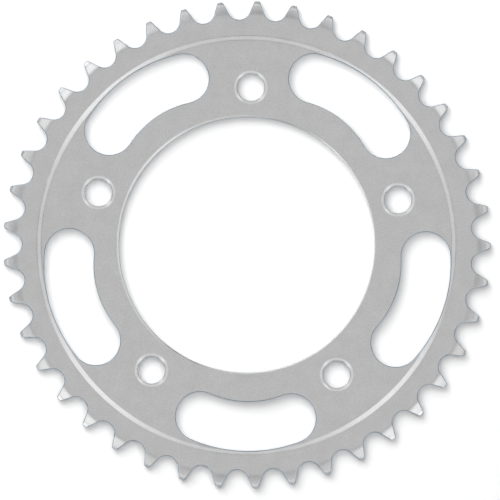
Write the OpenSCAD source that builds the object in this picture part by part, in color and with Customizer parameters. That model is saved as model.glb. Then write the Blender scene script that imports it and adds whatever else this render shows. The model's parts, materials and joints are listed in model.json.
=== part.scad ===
// Rear sprocket for a roller chain: one steel plate that carries the ring of
// teeth, the bore and bolt holes that fit the wheel's hub, and five slots that
// save weight. The axis is Z. The hub side lies on the XY plane, +Z points away
// from the wheel, and one bolt hole lies on +Y. Sizes are in millimetres and
// angles in degrees, positive anticlockwise.

/* [Chain and teeth] */
// Distance from pin to pin of the chain
chain_pitch = 15.875; // [15.5:0.025:16.5]
// Diameter of the chain's rollers
roller_d = 10.16; // [9.6:0.02:10.6]
// Number of teeth
tooth_count = 41; // [40:1:46]
// Height of the tooth tips above the pitch circle
tip_height = 3.1; // [2.6:0.1:3.6]
// Lean of a tooth flank away from the middle line of the gap beside it
flank_lean = 25.5; // [23:0.5:27]
// Turn from the bolt hole on +Y to the nearest tooth
tooth_turn = -1.05; // [-4:0.05:4]
// Thickness of the ring of teeth
tooth_t = 7.2; // [6.4:0.1:7.6]
// Thickness left at the tooth tips
tip_t = 3.6; // [3:0.1:5]
// Radius where the teeth start to thin towards their tips
relief_r = 101.2; // [99:0.1:103]

/* [Plate] */
// Thickness of the plate inside the ring of teeth
plate_t = 8; // [7.8:0.1:9]
// Radius where the slope down to the ring of teeth ends
step_r = 91.5; // [91:0.1:94]
// Width of that slope
step_w = 1.7; // [1:0.1:2.5]

/* [Hub fit] */
// Diameter of the bore
bore_d = 112; // [100:0.5:114]
// Number of bolt holes, and of slots between them
bolt_count = 5; // [3:1:5]
// Diameter of the circle that the bolt holes are on
bolt_circle_d = 138; // [136:0.5:140]
// Diameter of a bolt hole
bolt_hole_d = 12; // [8:0.1:13]

/* [Slots] */
// Width of a slot
slot_w = 21.6; // [12:0.1:22]
// Radius of the bend along a slot's middle line
slot_bend_r = 52.6; // [46:0.1:58]
// Half of the angle that a slot bends through
slot_half_angle = 22.3; // [12:0.1:23]
// Distance from the axis to the outer edge of a slot
slot_outer_r = 90.3; // [88:0.1:91]
// Sideways shift of a slot from the line midway between two bolt holes
slot_shift = 1.2; // [0:0.1:2]

/* [Chamfers] */
// Slope of every chamfer below the flat faces
chamfer_slope = 30; // [25:1:45]
// Width of the chamfers of the bore
bore_chamfer = 1; // [0.2:0.1:1.2]
// Width of the chamfers of a bolt hole
hole_chamfer = 1.4; // [0.2:0.1:1.6]
// Width of the chamfers of a slot
slot_chamfer = 0.6; // [0.2:0.1:0.8]

/* [Hidden] */
$fn = 180;

// Length that every cutter reaches past the face it cuts
reach = 1;

tooth_angle = 360 / tooth_count;
pitch_r = chain_pitch / 2 / sin(tooth_angle / 2);
root_r = pitch_r - roller_d / 2;
tip_r = pitch_r + tip_height;

// A roller rests in an arc slightly wider than itself
seat_r = 0.512 * roller_d;
seat_y = root_r + seat_r;

// The flanks start this far inside the seat, so that they cross its arc cleanly
flank_inset = 0.005;

// Fall of a tooth's side for each millimetre of radius past relief_r
relief_fall = (tooth_t - tip_t) / 2 / (tip_r - relief_r);

bolt_angle = 360 / bolt_count;
slot_bend_y = slot_outer_r - slot_w / 2 - slot_bend_r;

// Outline of the gap between two teeth, centred on +Y: a roller seat with
// straight flanks that leave it almost on its tangents
module gap_outline() {
    foot_r = seat_r - flank_inset;
    foot_x = foot_r * cos(flank_lean);
    foot_y = -foot_r * sin(flank_lean);
    mouth_y = tip_r + reach - seat_y;
    mouth_x = foot_x + (mouth_y - foot_y) * tan(flank_lean);
    translate([0, seat_y]) {
        circle(r = seat_r);
        polygon([[-foot_x, foot_y], [foot_x, foot_y], [mouth_x, mouth_y], [-mouth_x, mouth_y]]);
    }
}

// Outline of the toothed disc
module toothed_outline() {
    difference() {
        circle(r = tip_r);
        for (i = [0 : tooth_count - 1])
            rotate(tooth_turn + (i + 0.5) * tooth_angle)
                gap_outline();
    }
}

// Half section of the turned blank: the plate, the slope down to the ring of
// teeth, and the reliefs that thin the teeth from both sides
module blank_section() {
    blank_r = tip_r + reach;
    relief = relief_fall * (blank_r - relief_r);
    polygon([
        [0, 0], [relief_r, 0], [blank_r, relief],
        [blank_r, tooth_t - relief], [relief_r, tooth_t],
        [step_r, tooth_t], [step_r - step_w, plate_t], [0, plate_t]
    ]);
}

// Half section of a cutter through the plate that chamfers both edges
module cut_section(r, chamfer) {
    flare = r + chamfer + reach / tan(chamfer_slope);
    depth = chamfer * tan(chamfer_slope);
    polygon([
        [0, -reach], [flare, -reach], [r, depth],
        [r, plate_t - depth], [flare, plate_t + reach], [0, plate_t + reach]
    ]);
}

module round_cut(r, chamfer) {
    rotate_extrude()
        cut_section(r, chamfer);
}

// Curved slot with round ends, centred on +Y
module slot_cut() {
    translate([0, slot_bend_y, 0]) {
        rotate(90 - slot_half_angle)
            rotate_extrude(angle = 2 * slot_half_angle)
                translate([slot_bend_r, 0]) {
                    cut_section(slot_w / 2, slot_chamfer);
                    mirror([1, 0])
                        cut_section(slot_w / 2, slot_chamfer);
                }
        for (side = [-1, 1])
            rotate(side * slot_half_angle)
                translate([0, slot_bend_r, 0])
                    round_cut(slot_w / 2, slot_chamfer);
    }
}

module sprocket() {
    color("silver")
        difference() {
            intersection() {
                rotate_extrude()
                    blank_section();
                translate([0, 0, -reach])
                    linear_extrude(plate_t + 2 * reach)
                        toothed_outline();
            }
            round_cut(bore_d / 2, bore_chamfer);
            for (i = [0 : bolt_count - 1])
                rotate(i * bolt_angle) {
                    translate([0, bolt_circle_d / 2, 0])
                        round_cut(bolt_hole_d / 2, hole_chamfer);
                    rotate(bolt_angle / 2)
                        translate([-slot_shift, 0, 0])
                            slot_cut();
                }
        }
}

sprocket();
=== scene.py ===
"""Looks of the rear sprocket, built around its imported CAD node.

One piece stands for the CAD node: the same plate with its step, thinned teeth, chamfers and rounded
edges, in zinc-plated steel. Outlines are in millimetres in the CAD frame, and build_mesh turns them
into metres.
"""

import json
import math

import bmesh
import bpy
from mathutils import Matrix, Vector
from mathutils.geometry import delaunay_2d_cdt
from mathutils.kdtree import KDTree


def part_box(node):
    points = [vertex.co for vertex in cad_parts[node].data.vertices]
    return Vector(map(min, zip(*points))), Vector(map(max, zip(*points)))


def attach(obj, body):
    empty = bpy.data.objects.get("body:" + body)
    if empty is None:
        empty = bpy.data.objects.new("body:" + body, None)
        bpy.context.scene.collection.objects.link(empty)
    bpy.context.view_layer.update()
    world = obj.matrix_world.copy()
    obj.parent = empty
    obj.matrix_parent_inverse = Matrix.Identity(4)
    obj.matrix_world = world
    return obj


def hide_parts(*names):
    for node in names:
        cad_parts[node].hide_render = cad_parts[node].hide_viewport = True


MM = 0.001

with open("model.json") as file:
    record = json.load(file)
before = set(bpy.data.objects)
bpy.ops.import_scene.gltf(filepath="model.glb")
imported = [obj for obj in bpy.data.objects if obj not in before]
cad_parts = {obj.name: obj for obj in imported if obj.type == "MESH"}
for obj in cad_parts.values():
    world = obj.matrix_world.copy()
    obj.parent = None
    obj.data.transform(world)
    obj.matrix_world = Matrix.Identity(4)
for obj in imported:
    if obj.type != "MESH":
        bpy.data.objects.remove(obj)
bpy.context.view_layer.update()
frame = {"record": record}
mounts = {mount["name"]: mount for mount in frame["record"]["mounts"]}

# ---- Dimensions in millimetres ----

# The frame gives the driving sizes. The outlines of teeth and slots are those of the CAD, with the
# tips 0.02 mm lower, inside its box. The step, the thinning of the teeth, the bore's centre and all
# chamfers and rounds follow the photo more closely than the CAD does.
PLATE_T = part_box("sprocket")[1].z / MM
TEETH = mounts["chain_teeth"]["dims"]["count"]
PITCH_R = mounts["chain_teeth"]["dims"]["pcd_mm"] / 2
BORE_R = mounts["hub_bore"]["dims"]["r_mm"]
BOLTS = mounts["bolt_holes"]["dims"]["count"]
BOLT_CIRCLE_R = mounts["bolt_holes"]["dims"]["pcd_mm"] / 2
BOLT_HOLE_R = mounts["bolt_holes"]["dims"]["hole_r_mm"]

ROLLER_D = 10.16
SEAT_PER_ROLLER = 0.512
ROOT_R = PITCH_R - ROLLER_D / 2
SEAT_R = SEAT_PER_ROLLER * ROLLER_D
SEAT_Y = ROOT_R + SEAT_R
TIP_HEIGHT = 3.08
TIP_R = PITCH_R + TIP_HEIGHT
TIP_CORNER_R = 0.65
FLANK_LEAN = math.radians(25.5)
TOOTH_TURN = math.radians(-1.05)
TOOTH_ANGLE = math.tau / TEETH
BOLT_ANGLE = math.tau / BOLTS

# The step between the thick middle and the thinner teeth is turned a little off centre.
TOOTH_T = 7.2
STEP_CENTRE = Vector((-0.3, -0.15))
STEP_HIGH_R = 89.85
STEP_LOW_R = 91.8
STEP_SLOPE = (PLATE_T - TOOTH_T) / (STEP_LOW_R - STEP_HIGH_R)
STEP_ROUND = 0.2

# The teeth thin out over a soft bend, and once more where their tips are rounded.
RELIEF_R = 101.65
RELIEF_SLOPE = 0.34
RELIEF_ROUND = 1.5
TIP_BEND_R = 105.3
TIP_SLOPE = 0.5
TIP_ROUND = 0.35

SLOT_W = 21.6
SLOT_BEND_R = 52.6
SLOT_OUTER_R = 90.3
SLOT_BEND_Y = SLOT_OUTER_R - SLOT_W / 2 - SLOT_BEND_R
SLOT_HALF_ANGLE = math.radians(22.3)
SLOT_SHIFT = 1.2

# The bore was turned a little off centre, and its chamfer is wider at the upper left.
BORE_CENTRE = Vector((-0.15, 0.0))
BORE_CHAMFER_LEAN = Vector((-0.55, 0.25))

# Chamfers: width and slope
BORE_CHAMFER = (0.65, math.radians(44))
HOLE_CHAMFER = (1.3, math.radians(33))

# Rounding of an edge, and of the line where a chamfer meets the face. Each edge ends at a guard
# line on the flat beside it, which keeps the shading of the faces flat.
CORNER_R = 0.35
BREAK_R = 0.3
GUARD = 0.14

# ---- Mesh ----

# Spacing of the circles where the turned faces bend, and how far they keep from an edge
STEP_SPACING = 0.2
RELIEF_SPACING = 0.35
EDGE_GAP = 0.55

# Points of the faces that are closer than this are one point.
WELD_GAP = 0.00001

# Number of straight pieces in each line
TIP_STEPS = 2
TIP_CORNER_STEPS = 4
FLANK_STEPS = 6
SEAT_STEPS = 12
SLOT_END_STEPS = 40
SLOT_OUTER_STEPS = 60
SLOT_INNER_STEPS = 36
BORE_STEPS = 240
BOLT_HOLE_STEPS = 64
EDGE_STEPS = 5
STEP_STEPS = 600
RELIEF_STEPS = 18 * TEETH

# ---- Finish ----

FACE_COLOR = (0.70, 0.70, 0.70)
# Painted shade: the dark blue-grey line along every rounded edge stands in for the shade that falls
# there.
EDGE_SHADE_COLOR = (0.16, 0.245, 0.33, 1)
WALL_COLOR = (0.62, 0.64, 0.66, 1)
FLOOR_COLOR = (0.8, 0.8, 0.8, 1)

# The cut attribute goes from 0 on a face or a chamfer to 1 on a wall. These are its stretches where
# the painted dark shade on the rounded edges fades in, and then the wall.
EDGE_FADE = (0.12, 0.3)
WALL_FADE = (0.85, 1)

# The middle of a noise's range of values, and the ranges that it is spread over
NOISE = (0.3, 0.7)
GRAIN_TONES = (0.93, 1.07)
CLOUD_TONES = (0.965, 1.035)
CLOUD_ROUGHNESS = (0.28, 0.32)

# ---- Lamps: radiance, where 1 shows as white ----

# The room is dim overhead and at the horizon, with a bright band between. The two ranges are the
# heights over which the band fades in, from above and from below: 0 is the horizon, 1 is overhead.
ROOM_TOP = 0.38
ROOM_BAND = 1.03
ROOM_HORIZON = 0.15
FADE_ABOVE = (0.79, 0.66)
FADE_BELOW = (0.2, 0.38)

# Name, azimuth, zenith, side in metres, radiance
LAMPS = (
    ("overhead", 0, 0, 0.75, 0.34),
    ("upper_left", 135, 36, 0.56, 1.22),
    ("lower_left", 225, 36, 0.56, 1.14),
    ("lower_right", 315, 36, 0.56, 1.12),
    ("upper_right", 45, 36, 0.56, 1.03),
    ("upper_right_rim", 45, 66, 0.4, 0.6),
    ("low_upper_left", 135, 82, 0.5, 1.8),
    ("low_left", 180, 82, 0.5, 0.35),
    ("low_lower_left", 225, 82, 0.5, 2.0),
    ("low_bottom", 270, 82, 0.5, 0.35),
    ("low_lower_right", 315, 82, 0.5, 2.0),
    ("low_right", 0, 82, 0.5, 0.45),
)
LAMP_DISTANCE = 1.5

# These two light the floor and cast the shadow, and are kept out of the reflections.
FLOOR_LAMPS = (
    ("fill", 0, 0, 1.1, 3.65),
    ("key", 121, 34, 0.87, 5.1),
)
FLOOR_LAMP_DISTANCE = 1.2

# ---- Camera and floor, in metres ----

CAMERA_HEIGHT = 4.0
VIEW_WIDTH = 0.21895
VIEW_ROLL = math.radians(1.36)
VIEW_OFFSET = Vector((0.00127, -0.00225))

# The floor lies just clear of the plate's hub side, which is at zero.
FLOOR_HALF_W = 3.0
FLOOR_Z = -0.00005


# ---- Outlines ----
# Every outline is drawn at a distance "inset" from the edge into the steel, always with the same
# number of points, and runs with the steel on its left.


def arc(centre, radius, start, end, steps):
    """Points on an arc, both ends included. Angles are anticlockwise from +X."""
    angles = [start + (end - start) * i / steps for i in range(steps + 1)]
    x, y = centre
    return [Vector((x + radius * math.cos(a), y + radius * math.sin(a))) for a in angles]


def turned(points, angle):
    """The points turned anticlockwise about the plate's axis."""
    rotation = Matrix.Rotation(angle, 2)
    return [rotation @ point for point in points]


def half_gap(inset):
    """Right half of the outline of the gap on +Y, from the tooth's middle down to the root."""
    seat = Vector((0, SEAT_Y))
    across = Vector((math.cos(FLANK_LEAN), -math.sin(FLANK_LEAN)))
    along = Vector((math.sin(FLANK_LEAN), math.cos(FLANK_LEAN)))

    # Centre of the small round where the flank meets the tip
    start = seat + (SEAT_R + TIP_CORNER_R) * across
    reach = TIP_R - TIP_CORNER_R
    climb = -start.dot(along) + math.sqrt(start.dot(along) ** 2 + reach**2 - start.length_squared)
    corner = start + climb * along

    seat_r = SEAT_R + inset
    corner_r = TIP_CORNER_R - inset
    corner_angle = math.atan2(corner.y, corner.x)
    middle = math.pi / 2 - TOOTH_ANGLE / 2
    tip = arc((0, 0), TIP_R - inset, middle, corner_angle, TIP_STEPS)
    corner_arc = arc(corner, corner_r, corner_angle, math.pi - FLANK_LEAN, TIP_CORNER_STEPS)
    flank_top = corner_arc[-1]
    flank_foot = seat + seat_r * across
    flank = [flank_top.lerp(flank_foot, i / FLANK_STEPS) for i in range(1, FLANK_STEPS)]
    seat_arc = arc(seat, seat_r, -FLANK_LEAN, -math.pi / 2, SEAT_STEPS)
    return tip + corner_arc[1:] + flank + seat_arc


def teeth_outline(inset):
    """The whole toothed rim, one gap after another."""
    right = half_gap(inset)
    left = [Vector((-point.x, point.y)) for point in reversed(right)]
    gap = right[:-1] + left[:-1]
    outline = []
    for i in range(TEETH):
        outline += turned(gap, TOOTH_TURN + (i + 0.5) * TOOTH_ANGLE)
    return outline


def round_outline(centre, radius, steps, lean=Vector((0, 0))):
    """A round opening. The lean sets a chamfer off centre, by this much for each mm of inset."""

    def outline(inset):
        return arc(centre + inset * lean, radius + inset, math.tau, 0, steps)[:-1]

    return outline


def slot_outline(index):
    """The slot that follows bolt hole number index, anticlockwise."""
    centre = Vector((-SLOT_SHIFT, SLOT_BEND_Y))
    left, right = math.pi / 2 + SLOT_HALF_ANGLE, math.pi / 2 - SLOT_HALF_ANGLE
    right_end, left_end = arc(centre, SLOT_BEND_R, right, left, 1)

    def outline(inset):
        half_w = SLOT_W / 2 + inset
        points = arc(left_end, half_w, left + math.pi, left, SLOT_END_STEPS)[:-1]
        points += arc(centre, SLOT_BEND_R + half_w, left, right, SLOT_OUTER_STEPS)[:-1]
        points += arc(right_end, half_w, right, right - math.pi, SLOT_END_STEPS)[:-1]
        points += arc(centre, SLOT_BEND_R - half_w, right, left, SLOT_INNER_STEPS)[:-1]
        return turned(points, (index + 0.5) * BOLT_ANGLE)

    return outline


# ---- Heights ----


def eased(x, half_width):
    """The larger of x and zero, with the bend between them rounded off."""
    return x if x > half_width else max(x + half_width, 0) ** 2 / (4 * half_width)


def relief_fall(point):
    """How far a tooth has thinned here, on each of its sides."""
    relief = RELIEF_SLOPE * eased(point.length - RELIEF_R, RELIEF_ROUND)
    return relief + TIP_SLOPE * eased(point.length - TIP_BEND_R, TIP_ROUND)


def top_z(point):
    radius = (point - STEP_CENTRE).length
    step = eased(radius - STEP_HIGH_R, STEP_ROUND) - eased(radius - STEP_LOW_R, STEP_ROUND)
    return PLATE_T - STEP_SLOPE * step - relief_fall(point)


def bottom_z(point):
    return relief_fall(point)


# ---- Edge profiles ----


def rounded(corners, radii, steps):
    """A line through the corners with its inner ones rounded, as (inset, drop, slope) rows."""
    rows = [(corners[0].x, corners[0].y, 0.0)]
    for before, corner, after, radius in zip(corners, corners[1:], corners[2:], radii):
        arriving = (corner - before).normalized()
        leaving = (after - corner).normalized()
        inward = Vector((arriving.y, -arriving.x))
        slope = math.atan2(arriving.y, -arriving.x)
        turn = arriving.angle(leaving)
        start = corner - radius * math.tan(turn / 2) * arriving
        for i in range(steps + 1):
            turned_by = turn * i / steps
            forward, aside = math.sin(turned_by), 1 - math.cos(turned_by)
            point = start + radius * (forward * arriving + aside * inward)
            rows.append((point.x, point.y, slope + turned_by))
    rows.append((corners[-1].x, corners[-1].y, math.pi / 2))
    return rows


def edge_profile(width=0, slope=0):
    """Section of an edge from a guard line on the face, over a chamfer and a round, to the wall.

    Its rows are inset, drop and cut, which goes from 0 on the chamfer to 1 on the wall. It ends far
    enough down the wall for the whole round.
    """
    depth = width * math.tan(slope)
    corners = [Vector(c) for c in ((width, 0), (0, depth), (0, depth + 2 * CORNER_R))]
    radii = [CORNER_R]
    if width:
        corners.insert(0, Vector((width + GUARD, 0)))
        radii.insert(0, BREAK_R)
    else:
        corners[0] = Vector((CORNER_R + GUARD, 0))
    rows = rounded(corners, radii, EDGE_STEPS)
    return [(x, drop, max(0, (tilt - slope) / (math.pi / 2 - slope))) for x, drop, tilt in rows]


# ---- Building the mesh ----


def circles(centre, inner, outer, spacing, steps):
    """Points on circles round a bend, the first and last of them just outside it on the flat."""
    count = math.ceil((outer - inner) / spacing) + 2
    points = []
    for i in range(count + 1):
        points += arc(centre, inner + spacing * (i - 1), 0, math.tau, steps)[:-1]
    return points


def bend_points(outlines):
    """Points for the mesh where the turned faces bend, clear of every edge."""
    step_start, step_end = STEP_HIGH_R - STEP_ROUND, STEP_LOW_R + STEP_ROUND
    relief_start = RELIEF_R - RELIEF_ROUND
    points = circles(STEP_CENTRE, step_start, step_end, STEP_SPACING, STEP_STEPS)
    points += circles(Vector((0, 0)), relief_start, TIP_R, RELIEF_SPACING, RELIEF_STEPS)
    edge = [point.to_3d() for outline in outlines for point in outline]
    tree = KDTree(len(edge))
    for i, point in enumerate(edge):
        tree.insert(point, i)
    tree.balance()
    return [point for point in points if tree.find(point.to_3d())[2] > EDGE_GAP]


def fill_faces(bm, outlines, rings):
    """Closes the plate with its top and its bottom, which reach from edge to edge.

    The rings are those where the top and the bottom meet each edge. A face of steel lies inside
    area 0, the teeth, and in none of the openings.
    """
    points, lines = [], []
    for line in outlines:
        lines.append(list(range(len(points), len(points) + len(line))))
        points += line
    points += bend_points(outlines)
    teeth, *openings = lines
    areas = [teeth] + [line[::-1] for line in openings]
    spots, _, faces, sources, _, inside = delaunay_2d_cdt(points, [], areas, 0, WELD_GAP)
    steel = [face for face, around in zip(faces, inside) if list(around) == [0]]

    for height, side, step in ((top_z, 0, 1), (bottom_z, 1, -1)):
        ring_verts = [vert for ring in rings for vert in ring[side]]
        verts = {}
        for i in sorted({i for face in steel for i in face}):
            shared = [source for source in sources[i] if source < len(ring_verts)]
            x, y = spots[i]
            verts[i] = ring_verts[shared[0]] if shared else bm.verts.new((x, y, height(spots[i])))
        for face in steel:
            bm.faces.new([verts[i] for i in face][::step])


def build_mesh(name, edges):
    """The plate as one closed mesh from its edges, each an outline and the profile along it."""
    bm = bmesh.new()
    cut = bm.verts.layers.float.new("cut")
    rings = []
    for outline, profile in edges:
        sweep = []
        for height, sign, rows in ((top_z, -1, profile), (bottom_z, 1, profile[::-1])):
            for inset, drop, cut_here in rows:
                spots = [(*point, height(point) + sign * drop) for point in outline(inset)]
                ring = [bm.verts.new(spot) for spot in spots]
                for vert in ring:
                    vert[cut] = cut_here
                sweep.append(ring)
        for near, far in zip(sweep, sweep[1:]):
            for i in range(len(near)):
                bm.faces.new((near[i - 1], far[i - 1], far[i], near[i]))
        rings.append((sweep[0], sweep[-1]))
    fill_faces(bm, [outline(profile[0][0]) for outline, profile in edges], rings)

    for face in bm.faces:
        face.smooth = True
    bm.transform(Matrix.Scale(MM, 4))
    mesh = bpy.data.meshes.new(name)
    bm.to_mesh(mesh)
    bm.free()
    return mesh


def sprocket_edges():
    """Outline and profile of every edge, with the teeth first."""
    bore = round_outline(BORE_CENTRE, BORE_R, BORE_STEPS, BORE_CHAMFER_LEAN)
    edges = [
        (teeth_outline, edge_profile()),
        (bore, edge_profile(*BORE_CHAMFER)),
    ]
    for i in range(BOLTS):
        angle = math.pi / 2 + i * BOLT_ANGLE
        centre = Vector((BOLT_CIRCLE_R * math.cos(angle), BOLT_CIRCLE_R * math.sin(angle)))
        bolt_hole = round_outline(centre, BOLT_HOLE_R, BOLT_HOLE_STEPS)
        edges.append((bolt_hole, edge_profile(*HOLE_CHAMFER)))
        edges.append((slot_outline(i), edge_profile()))
    return edges


# ---- Materials ----


def add(tree, kind, settings, *inputs, **named_inputs):
    """Adds a shader node and gives its outputs. An input is a value or another node's output."""
    node = tree.nodes.new("ShaderNode" + kind)
    for name, value in settings.items():
        setattr(node, name, value)
    pairs = list(zip(node.inputs, inputs))
    for name, value in named_inputs.items():
        pairs.append((node.inputs[name.replace("_", " ")], value))
    for socket, value in pairs:
        if isinstance(value, bpy.types.NodeSocket):
            tree.links.new(value, socket)
        else:
            socket.default_value = value
    return node.outputs


def new_material(name):
    material = bpy.data.materials.new(name)
    material.use_nodes = True
    material.node_tree.nodes.clear()
    return material, material.node_tree


def plated_steel():
    """Zinc-plated steel with a fine satin grain, painted shade darkening the rounded edges, and a
    bit duller on walls.
    """
    material, tree = new_material("plated_steel")
    place = add(tree, "TexCoord", {})["Object"]
    grain = add(tree, "TexNoise", {}, Vector=place, Scale=1400, Detail=3, Roughness=0.6)["Fac"]
    cloud = add(tree, "TexNoise", {}, Vector=place, Scale=150, Detail=3, Roughness=0.55)["Fac"]
    cut = add(tree, "Attribute", {"attribute_name": "cut"})["Fac"]
    edge = add(tree, "MapRange", {}, cut, *EDGE_FADE, 0, 1)["Result"]
    wall = add(tree, "MapRange", {}, cut, *WALL_FADE, 0, 1)["Result"]

    grain_tone = add(tree, "MapRange", {}, grain, *NOISE, *GRAIN_TONES)["Result"]
    cloud_tone = add(tree, "MapRange", {}, cloud, *NOISE, *CLOUD_TONES)["Result"]
    tone = add(tree, "Math", {"operation": "MULTIPLY"}, grain_tone, cloud_tone)["Value"]
    face = add(tree, "VectorMath", {"operation": "SCALE"}, FACE_COLOR, Scale=tone)["Vector"]
    # Painted shade: the rounded edges are mixed towards a dark colour that stands in for the shade
    # along them.
    edge_shaded = add(tree, "MixRGB", {}, edge, face, EDGE_SHADE_COLOR)["Color"]
    color = add(tree, "MixRGB", {}, wall, edge_shaded, WALL_COLOR)["Color"]
    roughness = add(tree, "MapRange", {}, cloud, *NOISE, *CLOUD_ROUGHNESS)["Result"]

    bump = add(tree, "Bump", {}, Strength=0.25, Distance=0.00001, Height=grain)["Normal"]
    shader = add(
        tree, "BsdfPrincipled", {}, Base_Color=color, Metallic=1.0, Roughness=roughness, Normal=bump
    )["BSDF"]
    add(tree, "OutputMaterial", {}, shader)
    return material


def white_floor():
    material, tree = new_material("white_floor")
    shader = add(tree, "BsdfDiffuse", {}, Color=FLOOR_COLOR)["BSDF"]
    add(tree, "OutputMaterial", {}, shader)
    return material


# ---- Studio ----


def direction(azimuth, zenith):
    """Unit vector from the middle of the part. The azimuth is anticlockwise from +X, in degrees."""
    around, down = math.radians(azimuth), math.radians(zenith)
    out = math.sin(down)
    return Vector((out * math.cos(around), out * math.sin(around), math.cos(down)))


def softbox(distance, name, azimuth, zenith, side, radiance):
    """A square lamp aimed at the part, with the power that gives it this radiance."""
    data = bpy.data.lights.new(name, "AREA")
    data.shape = "SQUARE"
    data.size = side
    data.energy = radiance * math.pi * side**2
    lamp = bpy.data.objects.new(name, data)
    bpy.context.scene.collection.objects.link(lamp)
    away = direction(azimuth, zenith)
    lamp.location = distance * away
    lamp.rotation_euler = away.to_track_quat("Z", "Y").to_euler()
    return lamp


def light_studio():
    """A room that the plate mirrors and that doesn't light the floor, and lamps for each of them."""
    world = bpy.data.worlds.new("studio")
    bpy.context.scene.world = world
    world.use_nodes = True
    tree = world.node_tree
    height = add(tree, "SeparateXYZ", {}, add(tree, "TexCoord", {})["Generated"])["Z"]
    above = add(tree, "MapRange", {}, height, *FADE_ABOVE, ROOM_TOP, ROOM_BAND)["Result"]
    below = add(tree, "MapRange", {}, height, *FADE_BELOW, ROOM_HORIZON, ROOM_BAND)["Result"]
    radiance = add(tree, "Math", {"operation": "MINIMUM"}, above, below)["Value"]
    background = tree.nodes["Background"]
    background.inputs["Color"].default_value = (1, 1, 1, 1)
    tree.links.new(radiance, background.inputs["Strength"])
    world.cycles_visibility.diffuse = False
    for lamp in LAMPS:
        softbox(LAMP_DISTANCE, *lamp).visible_diffuse = False
    for lamp in FLOOR_LAMPS:
        softbox(FLOOR_LAMP_DISTANCE, *lamp).visible_glossy = False


def make_floor():
    mesh = bpy.data.meshes.new("floor")
    corners = [(-1, -1), (1, -1), (1, 1), (-1, 1)]
    verts = [(FLOOR_HALF_W * x, FLOOR_HALF_W * y, FLOOR_Z) for x, y in corners]
    mesh.from_pydata(verts, [], [(0, 1, 2, 3)])
    mesh.materials.append(white_floor())
    floor = bpy.data.objects.new("floor", mesh)
    bpy.context.scene.collection.objects.link(floor)
    return floor


def place_camera():
    """Straight above the part with a long lens, turned so that the top bolt hole leans right."""
    data = bpy.data.cameras.new("camera")
    data.lens = data.sensor_width * CAMERA_HEIGHT / VIEW_WIDTH
    camera = bpy.data.objects.new("camera", data)
    bpy.context.scene.collection.objects.link(camera)
    roll = Matrix.Rotation(VIEW_ROLL, 2)
    camera.location = (*(roll @ VIEW_OFFSET), CAMERA_HEIGHT + PLATE_T * MM)
    camera.rotation_euler = (0, 0, VIEW_ROLL)
    bpy.context.scene.camera = camera


plate = bpy.data.objects.new("sprocket_plate", build_mesh("sprocket_plate", sprocket_edges()))
bpy.context.scene.collection.objects.link(plate)
plate.data.materials.append(plated_steel())
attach(plate, "root")
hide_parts("sprocket")

make_floor()
light_studio()
place_camera()
bpy.context.scene.view_settings.view_transform = "Standard"
